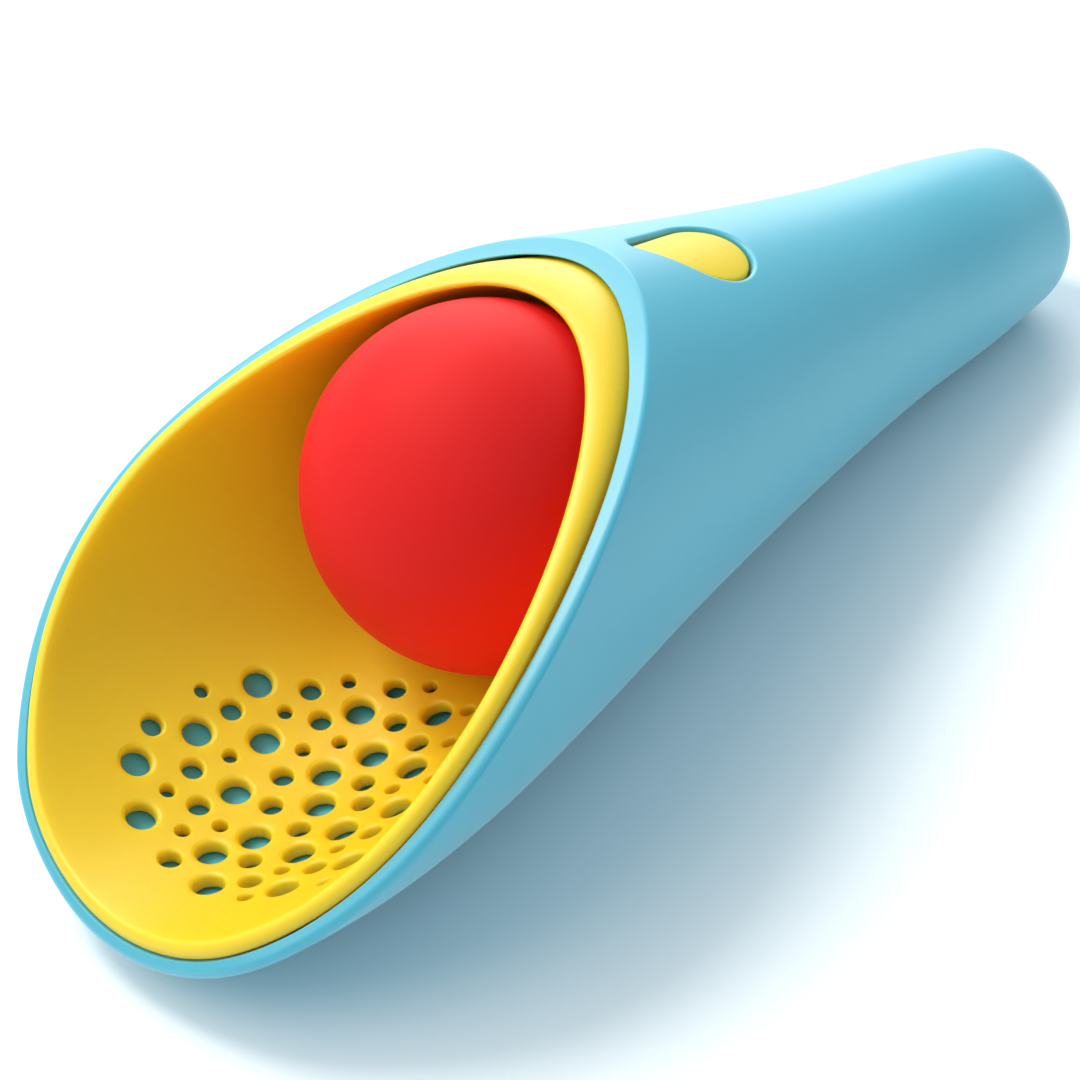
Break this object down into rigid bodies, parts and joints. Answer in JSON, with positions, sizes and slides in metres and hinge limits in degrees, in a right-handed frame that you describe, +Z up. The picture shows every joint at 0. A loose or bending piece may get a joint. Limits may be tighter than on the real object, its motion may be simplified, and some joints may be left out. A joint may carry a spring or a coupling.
{
  "type": "sand sieve",
  "caption": "Toy sand scoop with a hollow round grip, a nested perforated sieve bowl that unlatches by a teardrop button and slides out, and a hollow ball seated in the bowl",
  "frame": {"origin": "middle of the bottom of the bounding box, on the floor the scoop lies on", "axes": "+X runs along the scoop from the grip's round end towards the mouth's tip, +Z is up and away from the floor, +Y is to the left of +X"},
  "size_m": [0.2412, 0.098, 0.0716],
  "materials": {
    "scoop": "fine matte moulded sky-blue plastic",
    "sieve": "fine matte moulded warm yellow plastic",
    "latch_button": "fine matte moulded warm yellow plastic",
    "ball": "smooth matte red plastic"
  },
  "bodies": {
    "scoop": {"scoop": "scoop"},
    "sieve": {"sieve": "sieve"},
    "button": {"latch_button": "latch_button"},
    "ball": {"ball": "ball"}
  },
  "joints": [
    {"name": "sieve_slide", "type": "slide", "parent": "scoop", "child": "sieve", "axis": [0.961, 0, 0.2764], "range_m": [0, 0.16]},
    {"name": "latch_press", "type": "hinge", "parent": "sieve", "child": "button", "pos_m": [-0.00487, 0.00609, 0.06409], "axis": [-0.0363, -0.9781, 0.2047], "range_deg": [0, 9], "stiffness_Nm_per_rad": 1.4},
    {"name": "ball_lift", "type": "slide", "parent": "sieve", "child": "ball", "axis": [0.961, 0, 0.2764], "range_m": [0, 0.13]}
  ]
}
